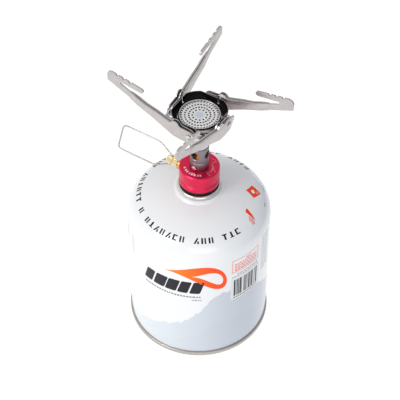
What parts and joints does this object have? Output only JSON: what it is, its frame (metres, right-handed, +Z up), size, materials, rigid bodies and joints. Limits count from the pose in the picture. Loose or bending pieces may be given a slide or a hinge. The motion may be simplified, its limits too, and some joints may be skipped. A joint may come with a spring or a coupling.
{
  "type": "camping stove",
  "caption": "Screw-on canister camping stove: a small round burner with folding toothed pot supports and a wire valve handle, on a tall gas canister.",
  "frame": {"origin": "centre of the canister's standing plane", "axes": "+Z up along the canister's and burner's axis; the pictured view looks along +Y and down, with +X to its right"},
  "size_m": [0.1292, 0.1292, 0.2393],
  "materials": {
    "canister_enamel": null,
    "tinned_steel": "bare tinned steel, softly bright",
    "nylon": "natural moulded nylon",
    "brass": "bright turned brass",
    "warm_brass": "warm orange brass",
    "rubber": "matt black rubber",
    "spring_steel": "drawn spring wire",
    "red_anodised": "crimson anodised, satin gloss",
    "turned_steel": "turned stainless steel",
    "sintered_bronze": "porous sintered bronze",
    "gunmetal": "dark purple-grey satin steel",
    "satin_steel": "light satin stainless steel",
    "polished_steel": "mirror polished stainless steel",
    "stainless_sheet": "warm grey pressed stainless sheet",
    "bright_wire": "drawn stainless wire, warm tint"
  },
  "bodies": {
    "canister": {"can_shell": "canister_enamel", "can_base": "tinned_steel", "can_valve_cup": "tinned_steel", "can_valve_housing": "nylon", "can_valve_seal": "rubber", "can_valve_spring": "spring_steel"},
    "poppet": {"can_valve_poppet": "brass"},
    "gasket": {"seal_ring": "rubber"},
    "stove": {"base_collar": "red_anodised", "valve_core": "brass", "inlet_pin": "turned_steel", "inlet_oring": "rubber", "gas_filter": "sintered_bronze", "gas_jet": "brass", "mixer_tube": "gunmetal", "tube_screw": "turned_steel", "burner_neck": "satin_steel", "burner_rim": "satin_steel", "flame_plate": "satin_steel", "diffuser_screen": "turned_steel", "burner_bowl": "polished_steel", "arm_bracket": "satin_steel", "gland_nut": "warm_brass", "rivet_left": "turned_steel", "rivet_front": "turned_steel", "rivet_right": "turned_steel", "rivet_back": "turned_steel"},
    "spindle_seal": {"spindle_oring": "rubber"},
    "spindle": {"valve_spindle": "turned_steel", "valve_hub": "brass", "hub_screw": "turned_steel"},
    "handle": {"wire_handle": "bright_wire"},
    "support_left": {"arm_left": "stainless_sheet"},
    "support_front": {"arm_front": "stainless_sheet"},
    "support_right": {"arm_right": "stainless_sheet"},
    "support_back": {"arm_back": "stainless_sheet"}
  },
  "joints": [
    {"name": "stove_lift", "type": "slide", "parent": "canister", "child": "gasket", "axis": [0, 0, 1], "range_m": [0, 0.0091]},
    {"name": "stove_turn", "type": "hinge", "parent": "gasket", "child": "stove", "pos_m": [0, 0, 0.1445], "axis": [0, 0, 1], "range_deg": [0, 3600]},
    {"name": "poppet_travel", "type": "slide", "parent": "canister", "child": "poppet", "axis": [0, 0, 1], "range_m": [0, 0.00151], "deforming": ["can_valve_spring"]},
    {"name": "valve_travel", "type": "slide", "parent": "stove", "child": "spindle_seal", "axis": [-0.8434, 0.5373, 0], "range_m": [0, 0.0016]},
    {"name": "valve_turn", "type": "hinge", "parent": "spindle_seal", "child": "spindle", "pos_m": [0, 0, 0.1515], "axis": [-0.8434, 0.5373, 0], "range_deg": [0, 720]},
    {"name": "handle_fold", "type": "hinge", "parent": "spindle", "child": "handle", "pos_m": [-0.02033, 0.01295, 0.1515], "axis": [-0.2514, -0.3946, -0.8838], "range_deg": [-90, 60]},
    {"name": "arm_left_fold", "type": "hinge", "parent": "stove", "child": "support_left", "pos_m": [-0.00694, -0.01955, 0.2092], "axis": [-0.5225, -0.8526, 0], "range_deg": [0, 95]},
    {"name": "arm_front_fold", "type": "hinge", "parent": "stove", "child": "support_front", "pos_m": [0.01955, -0.00694, 0.2092], "axis": [0.8526, -0.5225, 0], "range_deg": [0, 95]},
    {"name": "arm_right_fold", "type": "hinge", "parent": "stove", "child": "support_right", "pos_m": [0.00694, 0.01955, 0.2092], "axis": [0.5225, 0.8526, 0], "range_deg": [0, 95]},
    {"name": "arm_back_fold", "type": "hinge", "parent": "stove", "child": "support_back", "pos_m": [-0.01955, 0.00694, 0.2092], "axis": [-0.8526, 0.5225, 0], "range_deg": [0, 95]}
  ],
  "couplings": [
    {"joint": "stove_lift", "follows": "stove_turn", "m_per_rad": 0.00014437},
    {"joint": "poppet_travel", "follows": "stove_turn", "m_per_rad": 0.000023873},
    {"joint": "valve_turn", "follows": "valve_travel", "rad_per_m": 7854}
  ]
}
